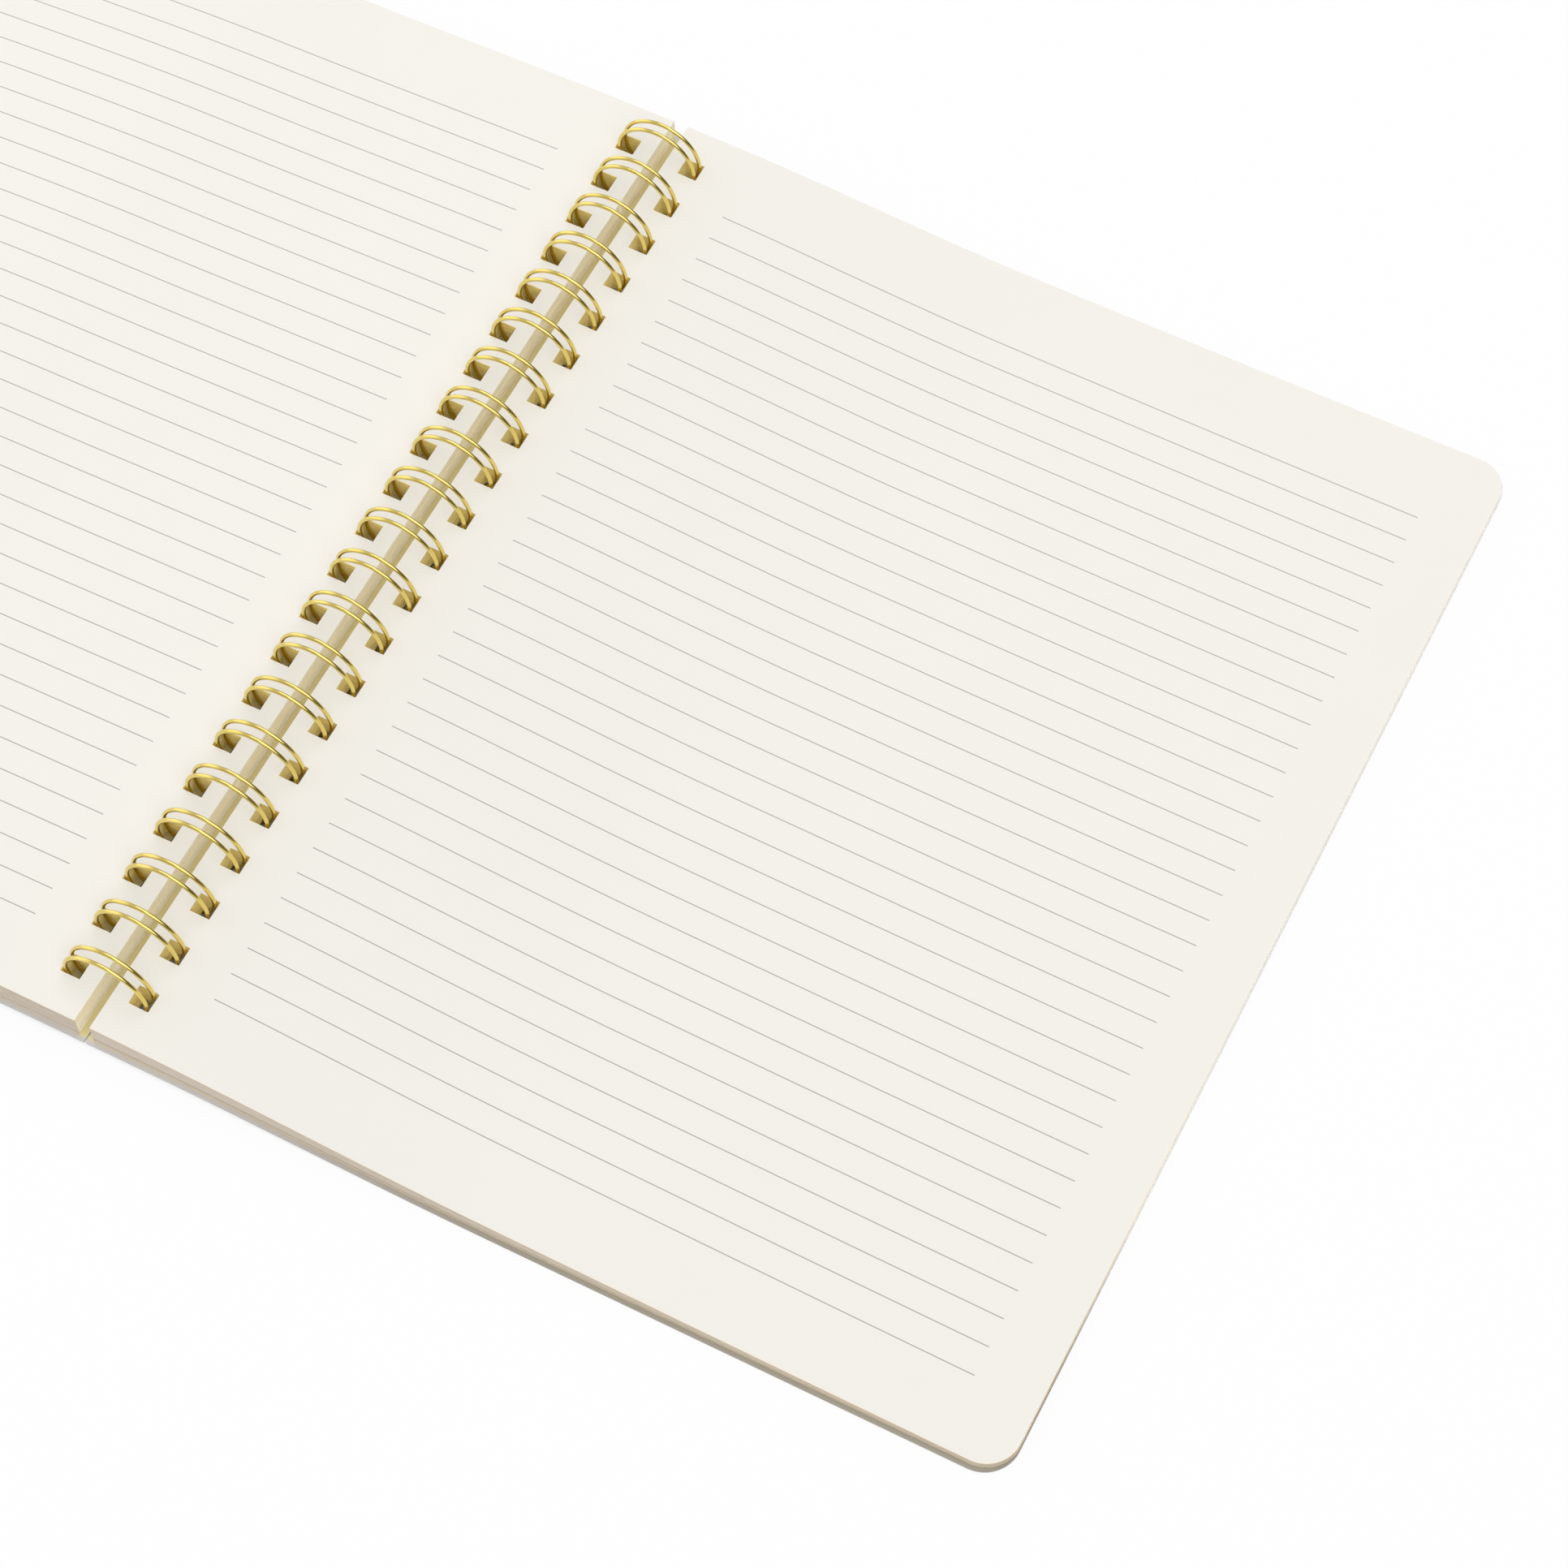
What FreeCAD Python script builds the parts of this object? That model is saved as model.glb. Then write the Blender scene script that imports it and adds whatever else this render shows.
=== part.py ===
import FreeCAD, Part
import math
import os

# An open wire-bound notebook lying on a table.
# Frame, in millimetres: X runs across the open notebook, Y up the page and Z up from the table.
# The origin is on the table, under the middle of the binding.

# Pages
page_width = 218.65
page_height = 277.0
page_corner_radius = 8.0
page_gap = 3.7            # between the two page stacks, over the binding

# Thickness of the stack on the right, wedge-shaped from the loops to the fore-edge
right_stack_at_spine = 6.85
right_stack_at_fore_edge = 2.2
right_stack_fall = 1.6    # how fast the wedge falls, as a power of the distance left

# Thickness of the stack on the left, whose turned sheets stand up in a low bow
left_stack_at_spine = 6.85
left_stack_at_fore_edge = 5.5
left_stack_bow = 3.5

# Covers
cover_thickness = 0.6
cover_gap = 0.4           # between the two covers, under the binding
cover_margin = 0.85       # beyond the pages at the top and bottom
cover_fore_margin = 0.1   # beyond the pages at the fore-edge
cover_lift = 3.05         # underside above the table at the loops
lift_start = 12.0         # from the middle, where a cover starts to fall to the table
lift_end = 100.0          # from the middle, where it meets the table

# Punched holes
hole_pitch = 12.7
least_end_margin = 9.0    # from the middle of the first and last hole to the page's end
hole_across = 5.0
hole_along = 4.8
page_hole_from_edge = 6.85
cover_hole_from_edge = 6.7

# Twin-loop wire
wire_diameter = 1.0
loop_radius = 10.26       # to the middle of the wire
twin_spacing = 2.9        # between the two wires of one loop
tip_reach = 2.2           # from the middle, where the closed tip of a loop starts
seam_gap = 0.25           # clear between a tip and the straight wire beside it
bend_radius = 1.0         # where a loop turns into the straight wire
stub_length = 1.5         # straight wire beyond the end loops

# Spans of each smooth curve in a profile
profile_steps = 24

wire_radius = wire_diameter / 2
half_twin = twin_spacing / 2
page_edge = page_gap / 2
fore_edge = page_edge + page_width
cover_edge = cover_gap / 2
cover_fore_edge = fore_edge + cover_fore_margin
cover_height = page_height + 2 * cover_margin
cover_corner_radius = page_corner_radius + cover_fore_margin
hole_count = int((page_height - 2 * least_end_margin) / hole_pitch) + 1
first_hole = -hole_pitch * (hole_count - 1) / 2

UP_THE_PAGE = FreeCAD.Vector(0, 1, 0)


def point(x, y, z):
    return FreeCAD.Vector(x, y, z)


def hole_rows():
    """Middle of each punched hole along the page."""
    return [first_hole + hole_pitch * k for k in range(hole_count)]


def half_wave(u):
    """Falls smoothly from 1 to 0 as u goes from 0 to 1."""
    return 0.5 + 0.5 * math.cos(math.pi * min(max(u, 0.0), 1.0))


def cover_underside(x):
    return cover_lift * half_wave((x - lift_start) / (lift_end - lift_start))


def across_page(x):
    """Share of the page width from the spine edge."""
    return (x - page_edge) / page_width


def right_stack(x):
    spread = right_stack_at_spine - right_stack_at_fore_edge
    return right_stack_at_fore_edge + spread * (1 - across_page(x)) ** right_stack_fall


def left_stack(x):
    u = across_page(x)
    level = left_stack_at_spine * (1 - u) + left_stack_at_fore_edge * u
    return level + left_stack_bow * math.sin(math.pi * u) ** 2


def stations(start, end):
    return [start + (end - start) * k / profile_steps for k in range(profile_steps + 1)]


def curve(xs, height):
    """Smooth edge through the given heights."""
    line = Part.BSplineCurve()
    line.interpolate([point(x, 0, height(x)) for x in xs])
    return line.toShape()


def cover_edges(start, end, rise):
    """Cover profile from start to end: level, falling, then flat on the table, raised by rise."""
    def height(x):
        return cover_underside(x) + rise
    level = Part.makeLine(point(start, 0, height(start)), point(lift_start, 0, height(lift_start)))
    fall = curve(stations(lift_start, lift_end), height)
    flat = Part.makeLine(point(lift_end, 0, height(lift_end)), point(end, 0, height(end)))
    return [level, fall, flat]


def side(x, low, high):
    return Part.makeLine(point(x, 0, low), point(x, 0, high))


def extruded(edges, length):
    """Solid of the closed profile, centred along the page."""
    face = Part.Face(Part.Wire(Part.__sortEdges__(edges)))
    solid = face.extrude(UP_THE_PAGE * length)
    solid.translate(UP_THE_PAGE * (-length / 2))
    return solid


def rounded_plan(start, end, length, radius):
    """Prism over the plan of a sheet, with its two outer corners rounded."""
    top = 4 * loop_radius
    box = Part.makeBox(end - start, length, top, point(start, -length / 2, -top / 2))
    corners = [e for e in box.Edges if is_upright(e) and e.Vertexes[0].X > (start + end) / 2]
    return box.makeFillet(radius, corners)


def is_upright(edge):
    a, b = edge.Vertexes
    return abs(a.X - b.X) < 1e-6 and abs(a.Y - b.Y) < 1e-6


def punches(centre):
    """Square punches along one edge."""
    height = 4 * loop_radius
    holes = []
    for y in hole_rows():
        corner = point(centre - hole_across / 2, y - hole_along / 2, -height / 2)
        holes.append(Part.makeBox(hole_across, hole_along, height, corner))
    return Part.makeCompound(holes)


def cover():
    """Right-hand cover."""
    edges = cover_edges(cover_edge, cover_fore_edge, 0)
    edges += cover_edges(cover_edge, cover_fore_edge, cover_thickness)
    for x in (cover_edge, cover_fore_edge):
        edges.append(side(x, cover_underside(x), cover_underside(x) + cover_thickness))
    sheet = extruded(edges, cover_height)
    plan = rounded_plan(cover_edge, cover_fore_edge, cover_height, cover_corner_radius)
    return sheet.common(plan).cut(punches(cover_edge + cover_hole_from_edge))


def pages(stack):
    """Right-hand page stack whose thickness is given by stack."""
    def top(x):
        return cover_underside(x) + cover_thickness + stack(x)
    edges = cover_edges(page_edge, fore_edge, cover_thickness)
    edges.append(curve(stations(page_edge, fore_edge), top))
    for x in (page_edge, fore_edge):
        edges.append(side(x, cover_underside(x) + cover_thickness, top(x)))
    block = extruded(edges, page_height)
    plan = rounded_plan(page_edge, fore_edge, page_height, page_corner_radius)
    return block.common(plan).cut(punches(page_edge + page_hole_from_edge))


def mirrored(shape):
    return shape.mirror(point(0, 0, 0), point(1, 0, 0))


def bend(centre, arm, towards, angle):
    """Wire bent about centre: it starts at centre + arm and turns towards the given direction."""
    axis = arm.cross(towards)
    axis.normalize()
    section = Part.makeCircle(wire_radius, centre + arm, towards)
    return Part.Face(Part.Wire(section)).revolve(centre, axis, angle)


def loop_angles():
    """Angles from straight down to the tip's side and to the straight wire's side of a loop."""
    base = seam_gap + half_twin + wire_diameter + bend_radius - tip_reach
    return math.asin(tip_reach / loop_radius), math.asin(base / loop_radius)


def loop_end(angle, side_sign):
    """Offset from the loop's middle and direction towards the seam, at an angle from straight down."""
    offset = point(side_sign * loop_radius * math.sin(angle), 0, -loop_radius * math.cos(angle))
    heading = point(-side_sign * math.cos(angle), 0, -math.sin(angle))
    return offset, heading


def loop_height():
    """Height of the loops' middle, with the lowest wire on the table."""
    tip, base = loop_angles()
    tip_drop = loop_radius * math.cos(tip) + half_twin * math.sin(tip)
    base_drop = loop_radius * math.cos(base) + bend_radius * math.sin(base)
    return max(tip_drop, base_drop) + wire_radius


def twin_loop(y):
    """One double loop with its closed tip and the two bends into the straight wire."""
    tip, base = loop_angles()
    base_offset, base_heading = loop_end(base, 1)
    tip_offset, tip_heading = loop_end(tip, -1)
    turn = 360 - math.degrees(tip + base)
    pieces = []
    for sign in (-1, 1):
        middle = point(0, y + sign * half_twin, loop_height())
        pieces.append(bend(middle, base_offset, base_heading * -1, turn))
        outward = UP_THE_PAGE * sign
        corner = middle + base_offset + outward * bend_radius
        pieces.append(bend(corner, outward * -bend_radius, base_heading, 90))
    tip_middle = point(0, y, loop_height()) + tip_offset
    pieces.append(bend(tip_middle, UP_THE_PAGE * -half_twin, tip_heading, 180))
    return pieces


def straight_wires():
    """Straight wire between neighbouring loops, and a stub at each end."""
    base = loop_angles()[1]
    offset, heading = loop_end(base, 1)
    line = point(0, 0, loop_height()) + offset + heading * bend_radius
    reach = half_twin + bend_radius
    rows = hole_rows()
    spans = [(a + reach, b - reach) for a, b in zip(rows, rows[1:])]
    spans.append((rows[0] - reach - stub_length, rows[0] - reach))
    spans.append((rows[-1] + reach, rows[-1] + reach + stub_length))
    wires = []
    for start, end in spans:
        wires.append(Part.makeCylinder(wire_radius, end - start, line + UP_THE_PAGE * start, UP_THE_PAGE))
    return wires


def binding():
    pieces = straight_wires()
    for y in hole_rows():
        pieces += twin_loop(y)
    return pieces[0].multiFuse(pieces[1:])


def save(shape, name):
    solids = shape.Solids
    print(name, len(solids), "solid,", len(shape.Faces), "faces,", round(shape.Volume, 1), "mm3,",
          "valid" if shape.isValid() else "not valid")
    Part.makeCompound(solids).exportStep(os.path.join("parts", name + ".step"))


os.makedirs("parts", exist_ok=True)
save(binding(), "wire_binding")
save(mirrored(cover()), "front_cover")
save(mirrored(pages(left_stack)), "front_pages")
save(pages(right_stack), "back_pages")
save(cover(), "back_cover")
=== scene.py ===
import math
import bpy
import numpy as np
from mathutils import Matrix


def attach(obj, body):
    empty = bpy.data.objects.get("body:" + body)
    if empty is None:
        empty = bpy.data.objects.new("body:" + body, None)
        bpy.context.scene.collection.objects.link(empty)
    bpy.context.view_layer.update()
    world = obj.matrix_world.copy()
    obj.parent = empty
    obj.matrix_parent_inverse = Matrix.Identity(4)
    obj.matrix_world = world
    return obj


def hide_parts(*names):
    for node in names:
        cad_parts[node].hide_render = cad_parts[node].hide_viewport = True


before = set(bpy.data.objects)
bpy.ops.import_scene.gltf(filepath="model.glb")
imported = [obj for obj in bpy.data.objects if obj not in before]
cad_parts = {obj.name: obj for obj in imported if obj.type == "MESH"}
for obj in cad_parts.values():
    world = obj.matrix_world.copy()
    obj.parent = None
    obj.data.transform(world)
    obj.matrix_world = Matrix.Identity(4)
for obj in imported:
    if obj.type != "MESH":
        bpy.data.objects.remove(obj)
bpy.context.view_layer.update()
print("frame loaded", sorted(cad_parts))

mm = 0.001
rng = np.random.default_rng(21)

# the photograph's camera, in metres and degrees
camera = {
    "place": (0.31680, -0.40070, 0.76730),
    "turn": (29.961, 0.843, 27.095),
    "lens": 90.15,
    "sensor": 36.0,
    "nearest": 0.01,
    "farthest": 20.0,
}

camData = bpy.data.cameras.new("photoCamera")
camData.lens = camera["lens"]
camData.sensor_width = camera["sensor"]
camData.clip_start = camera["nearest"]
camData.clip_end = camera["farthest"]
camObject = bpy.data.objects.new("photoCamera", camData)
camObject.location = camera["place"]
camObject.rotation_euler = [math.radians(a) for a in camera["turn"]]
bpy.context.collection.objects.link(camObject)
bpy.context.scene.camera = camObject
print("camera placed")


def weld(points, quads, values=None, stepsPerMm=1e4):
    # points that round to the same step become one; a quad that loses one corner turns into a triangle,
    # and one that loses more goes
    keys = np.round(points * stepsPerMm).astype(np.int64)
    first, back = np.unique(keys, axis=0, return_index=True, return_inverse=True)[1:]
    quads = back.ravel()[quads]
    same = [quads[:, k] == quads[:, (k + 1) % 4] for k in range(4)]
    whole = ~(same[0] | same[1] | same[2] | same[3])
    thin = (same[0] ^ same[2]) & ~same[1] & ~same[3]
    tris = np.where(same[0][:, None], quads[:, [1, 2, 3]], quads[:, [0, 1, 2]])[thin]
    return points[first], quads[whole], tris, None if values is None else values[first]


def addMesh(name, points, quads, body, smoothAngle, values=None, faceFrom=None):
    # points (n, 3) in millimetres, quads (m, 4) of point numbers, values one number a point; quads from
    # number faceFrom on take the second material
    points, quads, tris, values = weld(np.asarray(points, dtype=float), quads, values)
    corners = np.concatenate([quads.ravel(), tris.ravel()]).astype(np.int32)
    starts = np.concatenate([4 * np.arange(len(quads)), 4 * len(quads) + 3 * np.arange(len(tris))])
    mesh = bpy.data.meshes.new(name)
    mesh.vertices.add(len(points))
    mesh.vertices.foreach_set("co", (points * mm).astype(np.float32).ravel())
    mesh.loops.add(len(corners))
    mesh.loops.foreach_set("vertex_index", corners)
    mesh.polygons.add(len(starts))
    mesh.polygons.foreach_set("loop_start", starts.astype(np.int32))
    mesh.update(calc_edges=True)
    mesh.polygons.foreach_set("use_smooth", np.ones(len(starts), dtype=bool))
    mesh.set_sharp_from_angle(angle=math.radians(smoothAngle))
    if faceFrom is not None:
        second = (np.arange(len(starts)) >= faceFrom).astype(np.int32)
        mesh.polygons.foreach_set("material_index", second)
    if values is not None:
        layer = mesh.attributes.new("sheetTint", "FLOAT", "POINT")
        layer.data.foreach_set("value", values.astype(np.float32))
    piece = bpy.data.objects.new(name, mesh)
    bpy.context.collection.objects.link(piece)
    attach(piece, body)
    print(name, 2 * len(quads) + len(tris), "triangles")
    return piece


def gridQuads(rows, columns, wrap=False, start=0):
    # quad (i, j) joins grid points (i, j), (i, j + 1), (i + 1, j + 1) and (i + 1, j)
    across = columns if wrap else columns - 1
    i, j = np.meshgrid(np.arange(rows - 1), np.arange(across), indexing="ij")
    below, above = i * columns, (i + 1) * columns
    right = (j + 1) % columns
    return np.stack([below + j, below + right, above + right, above + j], -1).reshape(-1, 4) + start


# sizes of a page and a cover, in millimetres; x runs out from the middle of the binding on both sides
page = {
    "width": 218.65,
    "height": 277.0,
    "corner": 8.0,         # radius of the outer corners
    "spineEdge": 1.85,     # from the middle of the binding
    "holeFromEdge": 6.85,
    "holeAcross": 5.0,
    "holeAlong": 4.8,
    "holes": 21,
    "pitch": 12.7,
}
coverCard = {
    "thickness": 0.6,
    "lift": 3.05,          # how high it rises to pass inside the loops
    "liftStart": 12.0,     # it starts to come down here
    "liftEnd": 100.0,      # and lies flat from here
}
foreEdge = page["spineEdge"] + page["width"]
holeMiddles = page["pitch"] * (np.arange(page["holes"]) - (page["holes"] - 1) / 2)


def coverTop(x):
    # lift * (1 + cos(pi u)) / 2 + thickness, u = share of the way from liftStart to liftEnd
    lift, start, end = (coverCard[key] for key in ("lift", "liftStart", "liftEnd"))
    u = np.clip((x - start) / (end - start), 0, 1)
    return lift * (0.5 + 0.5 * np.cos(np.pi * u)) + coverCard["thickness"]


# sheets of paper: "openAt" numbers the gaps that stand open, counted from the cover, and "openBy" says
# how wide
stacks = {
    "back": {
        "side": 1,
        "sheets": 28,
        "foreEdge": 2.2,
        "wedge": 4.65,     # how much thicker it is at the binding
        "power": 1.6,
        "openAt": (1, 4, 7, 11),
        "openBy": (1.6, 2.6, 1.4, 1.2),
        "body": "back_half",
        "node": "back_pages",
    },
    "front": {
        "side": -1,
        "sheets": 60,
        "foreEdge": 5.5,
        "spine": 6.85,
        "bow": 3.5,
        "openAt": (1, 6, 14, 23, 37),
        "openBy": (2.2, 4.0, 2.4, 1.2, 1.4),
        "body": "front_half",
        "node": "front_pages",
    },
}
sheetEdge = {
    "inset": 0.10,         # how far the sheets stay back from the stack's outline
    "stray": 0.06,         # how far one sheet lies out of line
    "groove": 0.012,       # depth of the gap between two sheets
    "grooveOpen": 0.40,    # and of a gap that stands open
    "openFrom": 1.6,       # a gap stands open when it is so many times wider than usual,
    "openOver": 2.5,       # and it is as deep as it gets when it is this much wider still
    "inHoles": 0.6,        # share of the depth inside the punched holes
    "gapLeast": 0.6,
    "gapMost": 1.4,
    "gapGrowth": 0.035,    # a gap grows by openBy times this share of the number of sheets
    "lastTints": (1.6, 1.3),    # marks the two sheets next to the cover; the others go from 0 to 1
}
sheetGrid = {
    "columnsFrom": 14,     # even columns run from here
    "squeezeFrom": 100,    # to here, and on to the fore-edge
    "nearColumns": 24,
    "farColumns": 30,
    "bendStart": 9,        # rows round a corner start at this angle
    "bendRows": 12,
}


def rightThickness(x):
    # fore-edge + wedge * (1 - u)^power, u = share of the page width from the spine
    stack = stacks["back"]
    u = np.clip((x - page["spineEdge"]) / page["width"], 0, 1)
    return stack["foreEdge"] + stack["wedge"] * (1 - u) ** stack["power"]


def leftThickness(x):
    # spine (1 - u) + fore-edge u + bow sin^2(pi u)
    stack = stacks["front"]
    u = np.clip((x - page["spineEdge"]) / page["width"], 0, 1)
    return stack["spine"] * (1 - u) + stack["foreEdge"] * u + stack["bow"] * np.sin(np.pi * u) ** 2


def pageGrid():
    # plan of a sheet as a grid of points, x by y; past squeezeFrom x is squeezed so the last column
    # follows the rounded corners: x_end(y) = fore - r + sqrt(r^2 - reach(y)^2)
    inset = sheetEdge["inset"]
    split = sheetGrid["squeezeFrom"]
    sides = np.array([-0.5, 0.5])
    start, end = page["spineEdge"] + inset, foreEdge - inset
    xs = np.concatenate([
        [start],
        page["spineEdge"] + page["holeFromEdge"] + sides * page["holeAcross"],
        np.linspace(sheetGrid["columnsFrom"], split, sheetGrid["nearColumns"]),
        np.linspace(split, end, sheetGrid["farColumns"])[1:],
    ])
    half = page["height"] / 2 - inset
    r = page["corner"] - inset
    edges = (holeMiddles[:, None] + sides * page["holeAlong"]).ravel()
    angles = np.radians(np.linspace(sheetGrid["bendStart"], 90, sheetGrid["bendRows"]))
    bend = half - r + r * np.sin(angles)
    ys = np.sort(np.concatenate([edges, bend, -bend]))
    reach = np.clip(np.abs(ys) - (half - r), 0, r)
    last = end - r + np.sqrt(r * r - reach * reach)
    x, y = np.meshgrid(xs, ys, indexing="ij")
    x = np.where(x > split, split + (x - split) * (last[None, :] - split) / (end - split), x)
    between = (ys[1:] + ys[:-1]) / 2
    inHole = np.abs(between[:, None] - holeMiddles[None, :]).min(1) < page["holeAlong"] / 2
    solid = np.ones((len(xs) - 1, len(ys) - 1), dtype=bool)
    solid[1] = ~inHole
    return x, y, solid


def ringAround(x, y):
    # the grid's border, anticlockwise, and at each point the way out, mitred at the square corners
    ring = np.concatenate([
        np.stack([x[:, 0], y[:, 0]], -1)[:-1],
        np.stack([x[-1], y[-1]], -1)[:-1],
        np.stack([x[::-1, -1], y[::-1, -1]], -1)[:-1],
        np.stack([x[0, ::-1], y[0, ::-1]], -1)[:-1],
    ])
    step = np.roll(ring, -1, 0) - ring
    step /= np.linalg.norm(step, axis=1)[:, None]
    out = np.stack([step[:, 1], -step[:, 0]], -1)
    both = out + np.roll(out, 1, 0)
    return ring, both / (0.5 * (both ** 2).sum(1))[:, None]


def stackMesh(spec, thickness):
    # sheet k lies at k t + (T(x) - T(fore)) G(k), where G grows unevenly so that a few gaps stand open;
    # up a wall the rows go lower edge, upper edge, then two rows sunk into the gap above
    n = spec["sheets"]
    fore = float(thickness(np.array(foreEdge)))
    leaf = fore / n
    weight = rng.uniform(sheetEdge["gapLeast"], sheetEdge["gapMost"], n - 1)
    weight[list(spec["openAt"])] += np.array(spec["openBy"]) * n * sheetEdge["gapGrowth"]
    share = np.concatenate([[0], np.cumsum(weight)]) / weight.sum()
    wide = np.clip(weight / weight.mean() - sheetEdge["openFrom"], 0, sheetEdge["openOver"])
    depth = sheetEdge["groove"] + sheetEdge["grooveOpen"] * wide / sheetEdge["openOver"]
    stray = rng.uniform(-1, 1, (n, 2)) * sheetEdge["stray"]
    tint = rng.uniform(0, 1, n)
    tint[:2] = sheetEdge["lastTints"]

    def level(x, k, top):
        return coverTop(x) + (k + top) * leaf + (thickness(x) - fore) * share[k]

    row = np.arange(4 * n - 2)
    sheet = (row + 1) // 4
    upper = np.isin(row % 4, (1, 2)).astype(float)
    sunk = np.isin(row % 4, (2, 3)) * np.append(depth, 0)[np.minimum(row // 4, n - 1)]
    x, y, solid = pageGrid()
    rings = [(*ringAround(x, y), 1.0)]
    holeColumns = slice(1, 3)
    hair = 0.01    # so that a hole's own edges count as inside it
    for middle in holeMiddles:
        near = np.abs(y[0] - middle) < page["holeAlong"] / 2 + hair
        around = ringAround(x[holeColumns][:, near], y[holeColumns][:, near])
        rings.append((*around, -sheetEdge["inHoles"]))
    points, quads, values, count = [], [], [], 0
    for k, top in ((n - 1, 1), (0, 0)):
        plane = np.stack([x + stray[k, 0], y + stray[k, 1], level(x, k, top)], -1).reshape(-1, 3)
        grid = gridQuads(*x.shape, start=count)[solid.ravel()]
        points.append(plane)
        quads.append(grid[:, ::-1] if top else grid)
        values.append(np.full(len(plane), tint[k]))
        count += len(plane)
    pageFaces = sum(map(len, quads))
    for ring, out, facing in rings:
        push = -sunk * facing
        px = ring[None, :, 0] + out[None, :, 0] * push[:, None] + stray[sheet, 0][:, None]
        py = ring[None, :, 1] + out[None, :, 1] * push[:, None] + stray[sheet, 1][:, None]
        pz = level(ring[None, :, 0], sheet[:, None], upper[:, None])
        grid = gridQuads(len(row), len(ring), wrap=True, start=count)
        points.append(np.stack([px, py, pz], -1).reshape(-1, 3))
        quads.append(grid if facing > 0 else grid[:, ::-1])
        values.append(np.repeat(tint[sheet], len(ring)))
        count += px.size
    points, quads, values = np.concatenate(points), np.concatenate(quads), np.concatenate(values)
    if spec["side"] < 0:
        points[:, 0] *= -1
        quads = quads[:, ::-1]
    return points, quads, values, pageFaces


wire = {
    "thickness": 1.0,
    "loopRadius": 10.26,
    "twinSpacing": 2.9,    # between the two rings of a loop
    "tipReach": 2.2,       # how far the closed end of a loop passes the middle
    "seamGap": 0.25,       # between it and the straight wire
    "bendRadius": 1.0,
    "stub": 1.5,           # straight wire past the last loops
    "sides": 18,
    "ringSteps": 72,
    "bendSteps": 8,
    "tipSteps": 15,
}


def wireRoute():
    # arcs and straights of the whole wire as one list of points: for each loop a straight run, a bend,
    # the first ring, the tip's half circle, the second ring back, and the bend out again
    r, half, b = wire["loopRadius"], wire["twinSpacing"] / 2, wire["bendRadius"]
    tip = math.asin(wire["tipReach"] / r)
    base = math.asin((wire["seamGap"] + half + wire["thickness"] + b - wire["tipReach"]) / r)
    drop = max(r * math.cos(tip) + half * math.sin(tip), r * math.cos(base) + b * math.sin(base))
    height = drop + wire["thickness"] / 2
    ring = np.linspace(-math.pi / 2 + base, 1.5 * math.pi - tip, wire["ringSteps"])
    startPoint = np.array([r * math.sin(base), 0, -r * math.cos(base)])
    startWay = np.array([-math.cos(base), 0, -math.sin(base)])
    tipPoint = np.array([-r * math.sin(tip), 0, -r * math.cos(tip)])
    tipWay = np.array([math.cos(tip), 0, -math.sin(tip)])
    up = np.array([0.0, 1.0, 0.0])
    quarter = np.linspace(0, math.pi / 2, wire["bendSteps"])[:, None]
    turn = np.linspace(0, math.pi, wire["tipSteps"])[:, None]
    first = np.stack([r * np.cos(ring), 0 * ring, r * np.sin(ring)], -1)
    into = startPoint - up * b + b * (up * np.cos(quarter) + startWay * np.sin(quarter))
    out = startPoint + up * b + b * (-up * np.cos(quarter) + startWay * np.sin(quarter))
    tipArc = tipPoint + half * (-up * np.cos(turn) + tipWay * np.sin(turn))
    route = []
    for y in holeMiddles:
        low, high = y - half, y + half
        route.append(into[::-1] + up * low)
        route.append((first + up * low)[1:-1])
        route.append(tipArc + up * y)
        route.append((first[::-1] + up * high)[1:-1])
        route.append(out + up * high)
    route = np.concatenate(route)
    start, end = route[0] - up * wire["stub"], route[-1] + up * wire["stub"]
    route = np.concatenate([[start], route, [end]])
    route[:, 2] += height
    return route


def tube(route, radius, sides):
    # a circle carried along the route: P + radius (N cos a + B sin a), N kept from twisting; the first
    # and the last ring shrink to a point and close the ends
    ahead = np.gradient(route, axis=0)
    ahead /= np.linalg.norm(ahead, axis=1)[:, None]
    normal = np.zeros_like(route)
    n = np.array([0.0, 0.0, 1.0])
    for i, t in enumerate(ahead):
        n = n - t * n.dot(t)
        n /= np.linalg.norm(n)
        normal[i] = n
    other = np.cross(ahead, normal)
    a = np.linspace(0, 2 * math.pi, sides, endpoint=False)[None, :, None]
    circles = normal[:, None] * np.cos(a) + other[:, None] * np.sin(a)
    rows = np.concatenate([[0], np.arange(len(route)), [len(route) - 1]])
    grow = np.concatenate([[0.0], np.full(len(route), radius), [0.0]])
    points = route[rows][:, None] + grow[:, None, None] * circles[rows]
    return points.reshape(-1, 3), gridQuads(len(rows), sides, wrap=True)


def newMaterial(name, roughness, specular):
    # a finish with its nodes at hand
    material = bpy.data.materials.new(name)
    material.use_nodes = True
    nodes, links = material.node_tree.nodes, material.node_tree.links
    shader = nodes["Principled BSDF"]
    shader.inputs["Roughness"].default_value = roughness
    shader.inputs["Specular IOR Level"].default_value = specular
    return material, nodes, links, shader


def mathNode(nodes, links, operation, a, b=None, c=None):
    # one sum or comparison; a, b and c are numbers or outputs of other nodes
    node = nodes.new("ShaderNodeMath")
    node.operation = operation
    for socket, value in zip(node.inputs, (a, b, c)):
        if isinstance(value, (int, float)):
            socket.default_value = value
        elif value is not None:
            links.new(value, socket)
    return node.outputs[0]


def product(nodes, links, *factors):
    # the first factor times each of the others
    total = factors[0]
    for factor in factors[1:]:
        total = mathNode(nodes, links, "MULTIPLY", total, factor)
    return total


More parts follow.
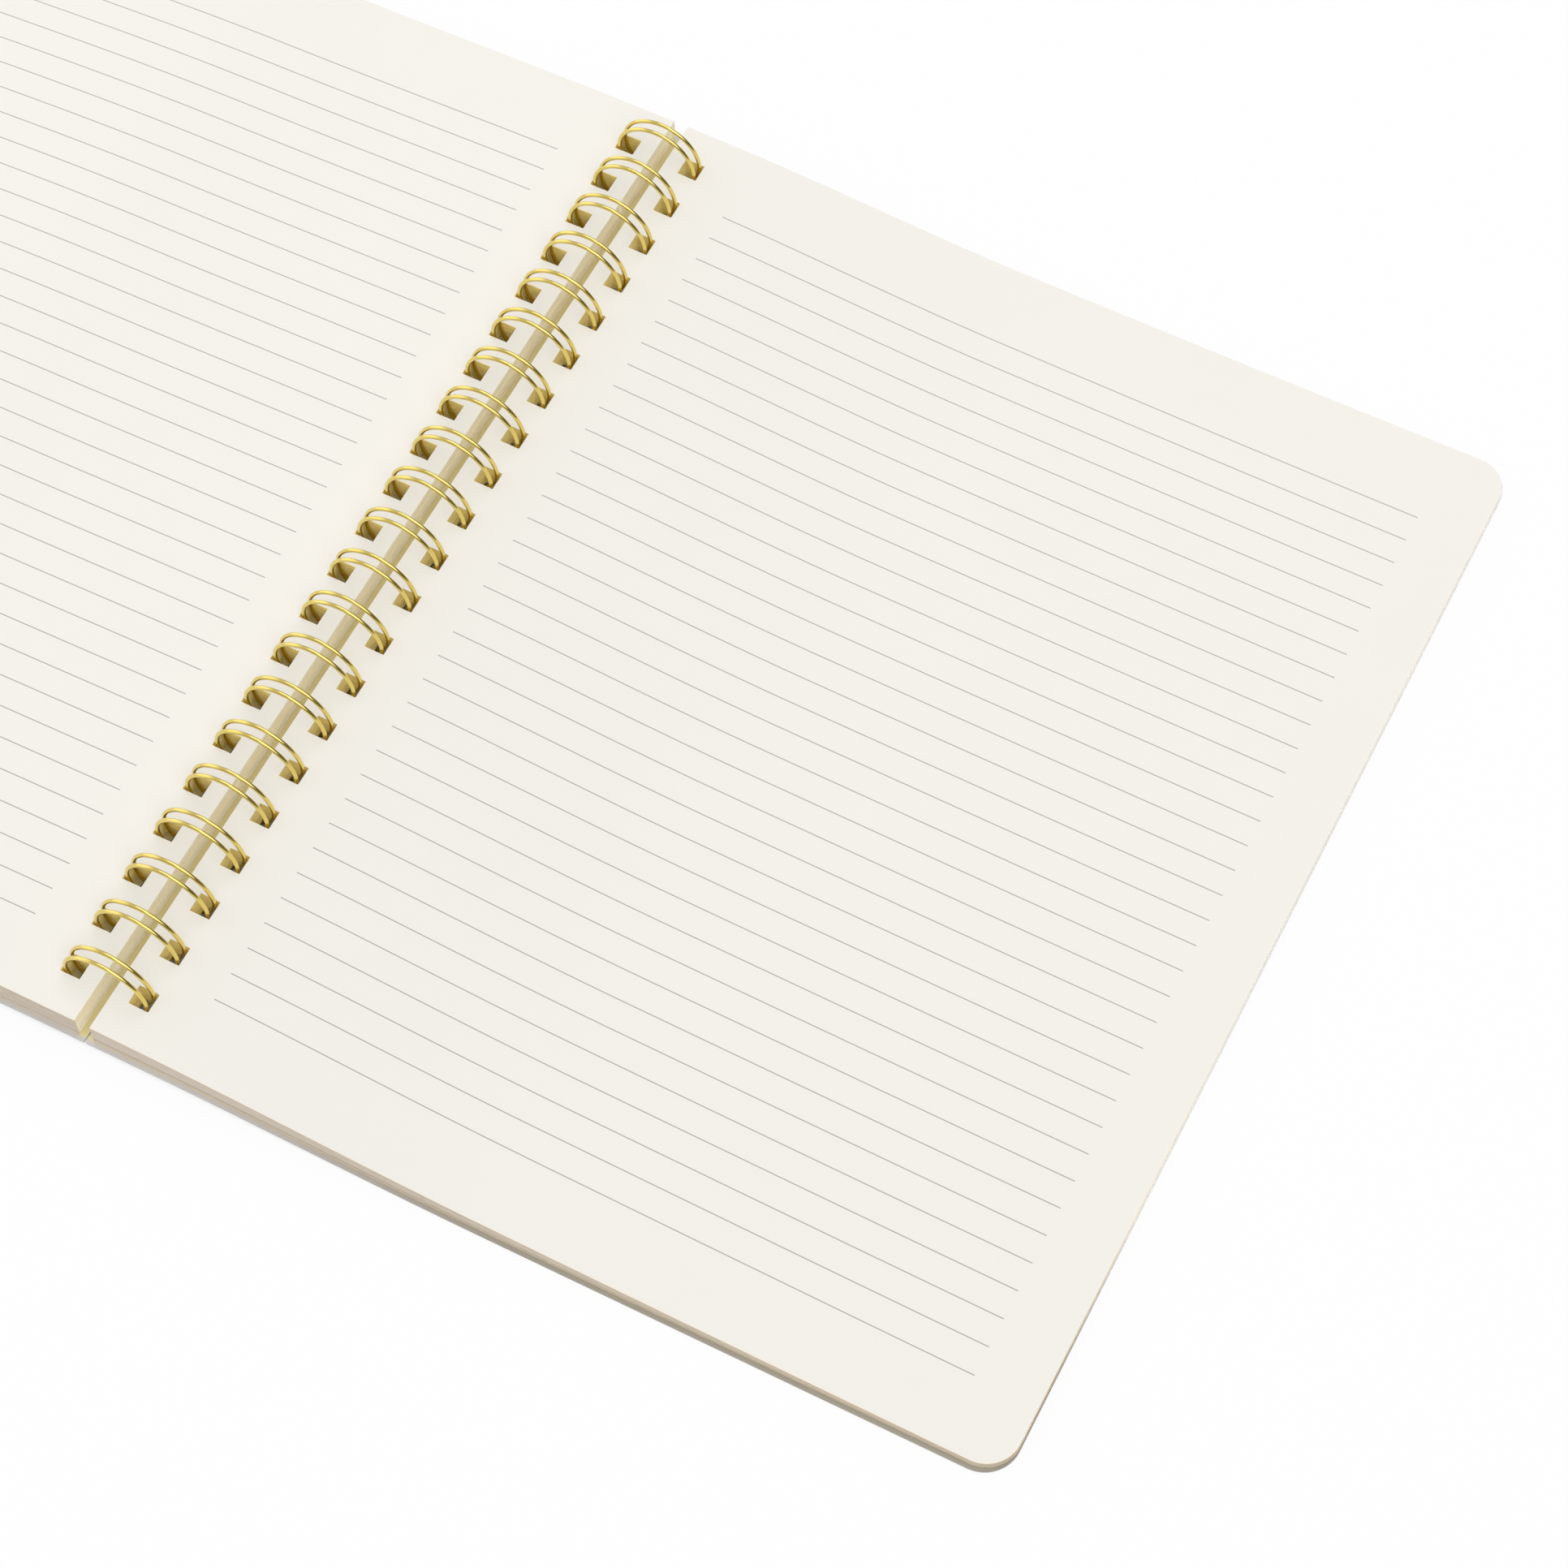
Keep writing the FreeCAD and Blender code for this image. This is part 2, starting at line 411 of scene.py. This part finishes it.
def ramp(nodes, links, value, low, high, smooth=True):
    # 0 at low, 1 at high
    node = nodes.new("ShaderNodeMapRange")
    node.interpolation_type = "SMOOTHSTEP" if smooth else "LINEAR"
    node.inputs["From Min"].default_value = low
    node.inputs["From Max"].default_value = high
    links.new(value, node.inputs["Value"])
    return node.outputs[0]


def noiseNode(nodes, links, vector, scale, detail, roughness=0.5):
    # soft spots, from 0 to 1, scale of them a metre
    node = nodes.new("ShaderNodeTexNoise")
    links.new(vector, node.inputs["Vector"])
    node.inputs["Scale"].default_value = scale
    node.inputs["Detail"].default_value = detail
    node.inputs["Roughness"].default_value = roughness
    return node.outputs["Fac"]


def streakNode(nodes, links, vector, perMetre, detail):
    # noise whose spots are stretched into streaks, perMetre of them along x, y and z
    stretch = nodes.new("ShaderNodeMapping")
    stretch.inputs["Scale"].default_value = perMetre
    links.new(vector, stretch.inputs["Vector"])
    return noiseNode(nodes, links, stretch.outputs[0], 1.0, detail)


def mixColour(nodes, links, factor, a, b):
    # a where the factor is 0, b where it is 1
    node = nodes.new("ShaderNodeMix")
    node.data_type = "RGBA"
    links.new(factor, node.inputs[0])
    for socket, value in ((6, a), (7, b)):
        if isinstance(value, tuple):
            node.inputs[socket].default_value = value
        else:
            links.new(value, node.inputs[socket])
    return node.outputs[2]


def bumpNode(nodes, links, shader, height, distance, strength):
    # the surface leans as if it rose by height times distance
    node = nodes.new("ShaderNodeBump")
    node.inputs["Distance"].default_value = distance
    node.inputs["Strength"].default_value = strength
    links.new(height, node.inputs["Height"])
    links.new(node.outputs["Normal"], shader.inputs["Normal"])


def placeOnPage(nodes, links):
    # where a point lies: the place itself, x out from the binding, y up the page, z above the table,
    # and side, 1 right and -1 left
    place = nodes.new("ShaderNodeTexCoord").outputs["Object"]
    split = nodes.new("ShaderNodeSeparateXYZ")
    links.new(place, split.inputs[0])
    return {
        "place": place,
        "x": mathNode(nodes, links, "ABSOLUTE", split.outputs["X"]),
        "y": split.outputs["Y"],
        "z": split.outputs["Z"],
        "side": mathNode(nodes, links, "SIGN", split.outputs["X"]),
    }


outerEdge = {
    "blend": 0.1,          # a rim colour comes up over this width
    "foreEdge": 0.8,       # how far in from the edge of the page the painted light on the fore-edge starts
    "paintedLightFrom": -0.122,    # metres up the page: the painted light on the fore-edge starts, and is full from here up
    "paintedLightTo": -0.066,      # and is full from here up
}


def beyond(nodes, links, spot, width):
    # 1 where sqrt(max(x - cx, 0)^2 + max(|y| - cy, 0)^2), with c the middle of the page corner's arc,
    # passes the arc's radius less the width
    centreX, centreY = foreEdge - page["corner"], page["height"] / 2 - page["corner"]
    across = mathNode(nodes, links, "SUBTRACT", spot["x"], centreX * mm)
    across = mathNode(nodes, links, "MAXIMUM", across, 0.0)
    up = mathNode(nodes, links, "ABSOLUTE", spot["y"])
    up = mathNode(nodes, links, "MAXIMUM", mathNode(nodes, links, "SUBTRACT", up, centreY * mm), 0.0)
    squares = mathNode(nodes, links, "MULTIPLY_ADD", across, across, product(nodes, links, up, up))
    reach = mathNode(nodes, links, "SQRT", squares)
    start = page["corner"] - width
    return ramp(nodes, links, reach, start * mm, (start + outerEdge["blend"]) * mm)


def foreEdgePaintedLight(nodes, links, spot):
    # where light is painted on the fore-edge: 1 there, fading to 0 towards the bottom corner
    far = mathNode(nodes, links, "GREATER_THAN", spot["x"], (foreEdge - outerEdge["foreEdge"]) * mm)
    up = ramp(nodes, links, spot["y"], outerEdge["paintedLightFrom"], outerEdge["paintedLightTo"])
    return product(nodes, links, far, up)


ruling = {
    "lines": 35,
    "spacing": 6.998,
    "first": 117.2,        # height of the top line up the page, half way along it
    "middle": 114.0,
    "tilt": 0.0076,        # the lines fall this much a millimetre away from the binding
    "near": 22.85,         # line ends, from the middle of the binding
    "nearShift": 0.65,     # the left page's lines start this much further out, the right page's nearer
    "far": 205.5,
    "width": 0.26,
    "ink": (0.33, 0.33, 0.32, 1),
    "strength": 0.82,
}


def ruledLines(nodes, links, spot):
    # 1 on a line: the distance to the nearest whole number of spacings is under half a line's width
    x = spot["x"]
    level = mathNode(nodes, links, "MULTIPLY_ADD", x, ruling["tilt"], spot["y"])
    top = (ruling["first"] + ruling["tilt"] * ruling["middle"]) / ruling["spacing"]
    steps = mathNode(nodes, links, "MULTIPLY_ADD", level, -1 / (ruling["spacing"] * mm), top)
    shift = -ruling["nearShift"] * mm
    start = mathNode(nodes, links, "MULTIPLY_ADD", spot["side"], shift, ruling["near"] * mm)
    nearest = mathNode(nodes, links, "ROUND", steps)
    off = mathNode(nodes, links, "ABSOLUTE", mathNode(nodes, links, "SUBTRACT", steps, nearest))
    return product(
        nodes, links,
        mathNode(nodes, links, "LESS_THAN", off, ruling["width"] / 2 / ruling["spacing"]),
        mathNode(nodes, links, "GREATER_THAN", nearest, -0.5),
        mathNode(nodes, links, "LESS_THAN", nearest, ruling["lines"] - 0.5),
        mathNode(nodes, links, "GREATER_THAN", x, start),
        mathNode(nodes, links, "LESS_THAN", x, ruling["far"] * mm),
    )


# noises are given as (scale, detail, roughness), bumps as (distance in metres, strength)
paper = {
    "colour": (0.864, 0.838, 0.781, 1),
    "shade": (0.849, 0.821, 0.764, 1),
    "cloud": (38, 4, 0.6),
    "fibre": (2600, 3, 0.65),
    "fibreBump": (0.00004, 0.35),
    "roughness": 0.82,
    "specular": 0.25,
    "rim": (0.90, 0.80, 0.66, 1),          # painted warm highlight on the outermost hair's breadth of a page
    "rimWidth": 0.22,
    "rimFrom": 0.01,                       # metres up the page: the rim's colour starts here,
    "rimTo": -0.09,                        # and is full from here down
}


def pageMaterial():
    # paper with faint blotches, printed lines and a painted warm highlight along its rim
    material, nodes, links, shader = newMaterial("ruledPaper", paper["roughness"], paper["specular"])
    spot = placeOnPage(nodes, links)
    cloud = noiseNode(nodes, links, spot["place"], *paper["cloud"])
    fibre = noiseNode(nodes, links, spot["place"], *paper["fibre"])
    sheet = mixColour(nodes, links, cloud, paper["colour"], paper["shade"])
    line = product(nodes, links, ruledLines(nodes, links, spot), ruling["strength"])
    printed = mixColour(nodes, links, line, sheet, ruling["ink"])
    # painted highlight: a warm band along the page's rim, full towards the bottom of the page
    rim = beyond(nodes, links, spot, sheetEdge["inset"] + paper["rimWidth"])
    rim = product(nodes, links, rim, ramp(nodes, links, spot["y"], paper["rimFrom"], paper["rimTo"]))
    links.new(mixColour(nodes, links, rim, printed, paper["rim"]), shader.inputs["Base Color"])
    bumpNode(nodes, links, shader, fibre, *paper["fibreBump"])
    return material


cutPaper = {
    "end": (0.62, 0.545, 0.485, 1),        # cut edge at the ends of the page, darkened below the paper's colour as painted shade, like the next two
    "endShade": (0.54, 0.475, 0.42, 1),
    "endFar": (0.72, 0.625, 0.48, 1),      # and further out, where it is warmer
    "farFrom": 0.03,                       # metres from the binding
    "farTo": 0.2,
    "foreEdge": (1.0, 0.985, 0.945, 1),    # the fore-edge itself: painted light, away from the bottom corner
    "spine": (1.0, 0.96, 0.80, 1),         # the deep face between the two stacks, painted bright and warm as light glowing through the paper
    "spineShade": (1.0, 0.89, 0.64, 1),
    "hole": (1.0, 0.86, 0.31, 1),          # walls of the punched holes, painted deep yellow as reflected light from the gold wire and glow through the paper
    "holeShade": (0.98, 0.82, 0.27, 1),
    "backing": (0.78, 0.66, 0.40, 1),      # the last sheets before the cover
    "streaks": (14, 14, 1500),             # how many a metre along x, y and z
    "streakDetail": 2,
    "streakShare": 0.5,                    # the wear is this share of the streak,
    "tintShare": 0.5,                      # and this share of the sheet's own tint
    "wear": (0.1, 0.9),                    # from none to all of the shade between these two
    "backingTint": (1.1, 1.4),             # a tint above these marks a backing sheet
    "spineStreaks": (3, 3, 850),
    "spineDetail": 3,
    "spineLine": (0.38, 0.56),             # streaks below the first are shade, above the second plain
    "roughness": 0.9,
    "specular": 0.2,
    "fuzz": 1.0,                           # loose fibres on the cut edges
    "fuzzRoughness": 0.6,
    "fuzzTint": (1.0, 0.9, 0.7, 1),
    "spineInside": 3.0,                    # millimetres from the binding, and up the page
    "spineUp": 138.2,
    "holesFrom": 4.0,
    "holesTo": 13.0,
    "holesUp": 133.0,
}


def edgeMaterial():
    # cut edges: each sheet has its own tint; the ends are darkened as painted shade, the fore-edge
    # carries painted light, the spine face a painted glow and the punched holes a painted gold
    # reflection and glow
    material, nodes, links, shader = newMaterial("cutPaper", cutPaper["roughness"], cutPaper["specular"])
    spot = placeOnPage(nodes, links)
    x, up = spot["x"], mathNode(nodes, links, "ABSOLUTE", spot["y"])
    tintNode = nodes.new("ShaderNodeAttribute")
    tintNode.attribute_name = "sheetTint"
    tint = tintNode.outputs["Fac"]
    streak = streakNode(nodes, links, spot["place"], cutPaper["streaks"], cutPaper["streakDetail"])
    tinted = product(nodes, links, tint, cutPaper["tintShare"])
    worn = mathNode(nodes, links, "MULTIPLY_ADD", streak, cutPaper["streakShare"], tinted)
    worn = ramp(nodes, links, worn, *cutPaper["wear"], smooth=False)
    far = ramp(nodes, links, x, cutPaper["farFrom"], cutPaper["farTo"])
    # painted shade: the end faces' colours are darker than the paper to stand for the shade on them
    end = mixColour(nodes, links, far, cutPaper["end"], cutPaper["endFar"])
    end = mixColour(nodes, links, worn, cutPaper["endShade"], end)
    isBacking = ramp(nodes, links, tint, *cutPaper["backingTint"])
    end = mixColour(nodes, links, isBacking, end, cutPaper["backing"])
    # painted light on the fore-edge, which gets too little light from the right
    end = mixColour(nodes, links, foreEdgePaintedLight(nodes, links, spot), end, cutPaper["foreEdge"])
    # painted glow: the spine face is coloured bright and warm to stand for light coming through the
    # paper into the deep gap
    streak = streakNode(nodes, links, spot["place"], cutPaper["spineStreaks"], cutPaper["spineDetail"])
    spineLine = ramp(nodes, links, streak, *cutPaper["spineLine"])
    spine = mixColour(nodes, links, spineLine, cutPaper["spineShade"], cutPaper["spine"])
    # painted reflection and glow: the hole walls take a deep yellow for the gold wire's reflected light
    # and light through the paper
    hole = mixColour(nodes, links, worn, cutPaper["holeShade"], cutPaper["hole"])
    isSpine = product(
        nodes, links,
        mathNode(nodes, links, "LESS_THAN", x, cutPaper["spineInside"] * mm),
        mathNode(nodes, links, "LESS_THAN", up, cutPaper["spineUp"] * mm),
    )
    isHole = product(
        nodes, links,
        mathNode(nodes, links, "LESS_THAN", x, cutPaper["holesTo"] * mm),
        mathNode(nodes, links, "GREATER_THAN", x, cutPaper["holesFrom"] * mm),
        mathNode(nodes, links, "LESS_THAN", up, cutPaper["holesUp"] * mm),
    )
    cut = mixColour(nodes, links, isHole, mixColour(nodes, links, isSpine, end, spine), hole)
    links.new(cut, shader.inputs["Base Color"])
    shader.inputs["Sheen Weight"].default_value = cutPaper["fuzz"]
    shader.inputs["Sheen Roughness"].default_value = cutPaper["fuzzRoughness"]
    shader.inputs["Sheen Tint"].default_value = cutPaper["fuzzTint"]
    return material


card = {
    # the card's pale colour darkened as painted shade, in this and the next colour
    "colour": (0.66, 0.64, 0.615, 1),
    "shade": (0.60, 0.58, 0.555, 1),
    "cloud": (60, 5, 0.6),
    "grain": (1800, 4, 0.7),
    "grainBump": (0.00006, 0.4),
    "roughness": 0.6,
    "specular": 0.35,
    "rim": (0.42, 0.385, 0.32, 1),         # painted shade on the margin beyond the pages, darker and browner away from the binding
    "rimWidth": 0.6,
    "rimFrom": 0.02,                       # metres from the binding
    "rimTo": 0.11,
    "rimFore": (0.93, 0.92, 0.89, 1),      # and painted light on it along the fore-edge
    "inside": (0.80, 0.70, 0.37, 1),       # painted shade with a warm painted bounce on the strip that shows between the two stacks
    "insideTo": 13.0,                      # millimetres from the binding, and up the page
    "insideUp": 138.4,
    "insideAbove": 0.8,                    # share of the card's thickness: only its top has the colour
}


def cardMaterial():
    # card darkened from a pale colour as painted shade, with faint blotches, painted shade on its rim
    # with painted light along the fore-edge, and painted shade with a warm painted bounce on a strip at
    # the binding
    material, nodes, links, shader = newMaterial("coverCard", card["roughness"], card["specular"])
    spot = placeOnPage(nodes, links)
    x = spot["x"]
    cloud = noiseNode(nodes, links, spot["place"], *card["cloud"])
    grain = noiseNode(nodes, links, spot["place"], *card["grain"])
    # painted shade: the card's colours are darker than its own pale colour
    board = mixColour(nodes, links, cloud, card["colour"], card["shade"])
    # painted shade on the card's margin beside the pages, with painted light along the fore-edge
    away = ramp(nodes, links, x, card["rimFrom"], card["rimTo"])
    rim = product(nodes, links, beyond(nodes, links, spot, card["rimWidth"]), away)
    rimColour = mixColour(nodes, links, foreEdgePaintedLight(nodes, links, spot), card["rim"], card["rimFore"])
    board = mixColour(nodes, links, rim, board, rimColour)
    # painted shade with a warm painted bounce in the deep gap between the two stacks
    top = coverCard["lift"] + card["insideAbove"] * coverCard["thickness"]
    up = mathNode(nodes, links, "ABSOLUTE", spot["y"])
    strip = product(
        nodes, links,
        mathNode(nodes, links, "LESS_THAN", x, card["insideTo"] * mm),
        mathNode(nodes, links, "LESS_THAN", up, card["insideUp"] * mm),
        mathNode(nodes, links, "GREATER_THAN", spot["z"], top * mm),
    )
    links.new(mixColour(nodes, links, strip, board, card["inside"]), shader.inputs["Base Color"])
    bumpNode(nodes, links, shader, grain, *card["grainBump"])
    return material


brass = {
    "colour": (0.86, 0.705, 0.235, 1),
    "shade": (0.76, 0.60, 0.15, 1),
    "cloud": (300, 3, 0.6),
    "scratch": (5000, 2, 0.6),
    "scratchBump": (0.00002, 0.25),
    "roughness": 0.13,
    "specular": 0.5,
    "smoother": 0.05,      # how far the roughness falls in the clearest spots
    "rougher": 0.10,       # and rises in the dullest
}


def brassMaterial():
    # polished gold-coloured metal, a little duller in spots
    material, nodes, links, shader = newMaterial("goldWire", brass["roughness"], brass["specular"])
    place = nodes.new("ShaderNodeTexCoord").outputs["Object"]
    cloud = noiseNode(nodes, links, place, *brass["cloud"])
    scratch = noiseNode(nodes, links, place, *brass["scratch"])
    tone = mixColour(nodes, links, cloud, brass["colour"], brass["shade"])
    links.new(tone, shader.inputs["Base Color"])
    shader.inputs["Metallic"].default_value = 1.0
    rough = nodes.new("ShaderNodeMapRange")
    rough.inputs["To Min"].default_value = brass["roughness"] - brass["smoother"]
    rough.inputs["To Max"].default_value = brass["roughness"] + brass["rougher"]
    links.new(cloud, rough.inputs["Value"])
    links.new(rough.outputs[0], shader.inputs["Roughness"])
    bumpNode(nodes, links, shader, scratch, *brass["scratchBump"])
    return material


print("building the page stacks")
pageFinish, edgeFinish = pageMaterial(), edgeMaterial()
for key, thickness in (("back", rightThickness), ("front", leftThickness)):
    spec = stacks[key]
    points, quads, values, pageFaces = stackMesh(spec, thickness)
    piece = addMesh(key + "Sheets", points, quads, spec["body"], smoothAngle=30, values=values,
                    faceFrom=pageFaces)
    piece.data.materials.append(pageFinish)
    piece.data.materials.append(edgeFinish)
    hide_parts(spec["node"])

print("building the wire")
points, quads = tube(wireRoute(), wire["thickness"] / 2, wire["sides"])
wirePiece = addMesh("loopWire", points, quads, "binding", smoothAngle=60)
wirePiece.data.materials.append(brassMaterial())
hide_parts("wire_binding")

print("finishing the covers")
cardFinish = cardMaterial()
for node in ("front_cover", "back_cover"):
    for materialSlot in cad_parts[node].material_slots:
        materialSlot.material = cardFinish

studio = {
    "floorSize": 6.0,
    "floorDrop": 0.0002,   # the floor lies this far below the object
    "floorColour": (0.86, 0.86, 0.86, 1),
    "floorRoughness": 0.9,
    "floorSpecular": 0.1,
    "floorWhite": 0.93,    # share of plain white that the camera sees
    "shadowReach": 0.012,  # metres out from the object where the floor keeps its own shade
    "shadowSamples": 8,
    "shadowFull": 0.10,    # openness below which the floor is all shade,
    "shadowNone": 0.42,    # and above which it is white
    "overhead": 0.80,      # soft light from overhead
    "overheadWay": (0.02, 0.08, 0.996),
    "overheadCap": (0.66, 0.84),    # cosine from the way where it starts and where it is full
    "front": 1.95,         # a softbox over the camera's shoulder
    "frontWay": (0.45, -0.32, 0.834),
    "frontCap": (0.87, 0.94),
    "low": 0.54,           # from low down in front, behind and on the left
    "left": 0.80,          # more of it straight from the left
    "leftCap": (-0.5, -0.85),
    "right": 0.14,         # and less from low down on the right
    "rightCap": (0.05, 0.5),
    "key": 4.8,
    "keyPlace": (-0.22, 0.62, 1.70),
    "keySize": 1.1,
    "keyAim": (0.05, 0.0, 0.0),
}


def addFloor():
    # the camera sees it white, but close round the object it keeps its own shade
    s, z = studio["floorSize"] / 2, -studio["floorDrop"]
    mesh = bpy.data.meshes.new("floor")
    mesh.from_pydata([(-s, -s, z), (s, -s, z), (s, s, z), (-s, s, z)], [], [(0, 1, 2, 3)])
    floor = bpy.data.objects.new("floor", mesh)
    bpy.context.collection.objects.link(floor)
    material, nodes, links, shader = newMaterial(
        "studioFloor", studio["floorRoughness"], studio["floorSpecular"])
    shader.inputs["Base Color"].default_value = studio["floorColour"]
    white = nodes.new("ShaderNodeEmission")
    shade = nodes.new("ShaderNodeAmbientOcclusion")
    shade.samples = studio["shadowSamples"]
    shade.inputs["Distance"].default_value = studio["shadowReach"]
    clear = ramp(nodes, links, shade.outputs["AO"], studio["shadowFull"], studio["shadowNone"])
    ray = nodes.new("ShaderNodeLightPath").outputs
    seen = mathNode(nodes, links, "MAXIMUM", ray["Is Camera Ray"], ray["Is Glossy Ray"])
    seen = mathNode(nodes, links, "MAXIMUM", seen, ray["Is Transmission Ray"])
    mixer = nodes.new("ShaderNodeMixShader")
    links.new(product(nodes, links, seen, clear, studio["floorWhite"]), mixer.inputs[0])
    links.new(shader.outputs[0], mixer.inputs[1])
    links.new(white.outputs[0], mixer.inputs[2])
    links.new(mixer.outputs[0], nodes["Material Output"].inputs["Surface"])
    floor.data.materials.append(material)


def addWorld():
    # low light that is brighter on the left and darker on the right, a cap of light overhead and one
    # over the camera's shoulder; the camera itself sees plain white
    world = bpy.data.worlds.new("studio")
    bpy.context.scene.world = world
    world.use_nodes = True
    nodes, links = world.node_tree.nodes, world.node_tree.links
    sky = nodes["Background"]
    sky.inputs["Color"].default_value = (1, 1, 1, 1)
    skyWay = nodes.new("ShaderNodeTexCoord").outputs["Generated"]
    way = nodes.new("ShaderNodeSeparateXYZ")
    links.new(skyWay, way.inputs[0])

    def towards(direction):
        node = nodes.new("ShaderNodeVectorMath")
        node.operation = "DOT_PRODUCT"
        links.new(skyWay, node.inputs[0])
        node.inputs[1].default_value = direction
        return node.outputs["Value"]

    overhead = ramp(nodes, links, towards(studio["overheadWay"]), *studio["overheadCap"])
    front = ramp(nodes, links, towards(studio["frontWay"]), *studio["frontCap"])
    toRight = ramp(nodes, links, way.outputs["X"], *studio["rightCap"])
    toLeft = ramp(nodes, links, way.outputs["X"], *studio["leftCap"])
    darker = studio["right"] - studio["low"]
    low = mathNode(nodes, links, "MULTIPLY_ADD", toRight, darker, studio["low"])
    low = mathNode(nodes, links, "MULTIPLY_ADD", toLeft, studio["left"], low)
    lift = mathNode(nodes, links, "SUBTRACT", studio["overhead"], low)
    dome = mathNode(nodes, links, "MULTIPLY_ADD", overhead, lift, low)
    dome = mathNode(nodes, links, "MULTIPLY_ADD", front, studio["front"], dome)
    ray = nodes.new("ShaderNodeLightPath").outputs
    seen = mathNode(nodes, links, "MAXIMUM", ray["Is Camera Ray"], ray["Is Transmission Ray"])
    plain = nodes.new("ShaderNodeMix")
    links.new(seen, plain.inputs[0])
    links.new(dome, plain.inputs[2])
    plain.inputs[3].default_value = 1.0
    links.new(plain.outputs[0], sky.inputs["Strength"])


def addKey():
    # a round softbox at keyPlace, turned to keyAim
    light = bpy.data.lights.new("keySoftbox", "AREA")
    light.shape = "DISK"
    light.size = studio["keySize"]
    light.energy = studio["key"]
    lamp = bpy.data.objects.new("keySoftbox", light)
    lamp.location = studio["keyPlace"]
    aim = np.array(studio["keyAim"]) - np.array(studio["keyPlace"])
    flat = math.hypot(aim[0], aim[1])
    lamp.rotation_euler = (math.atan2(flat, -aim[2]), 0, math.atan2(-aim[0], aim[1]))
    bpy.context.collection.objects.link(lamp)


addFloor()
addWorld()
addKey()
bpy.context.scene.view_settings.view_transform = "Standard"
print("floor and lights set")
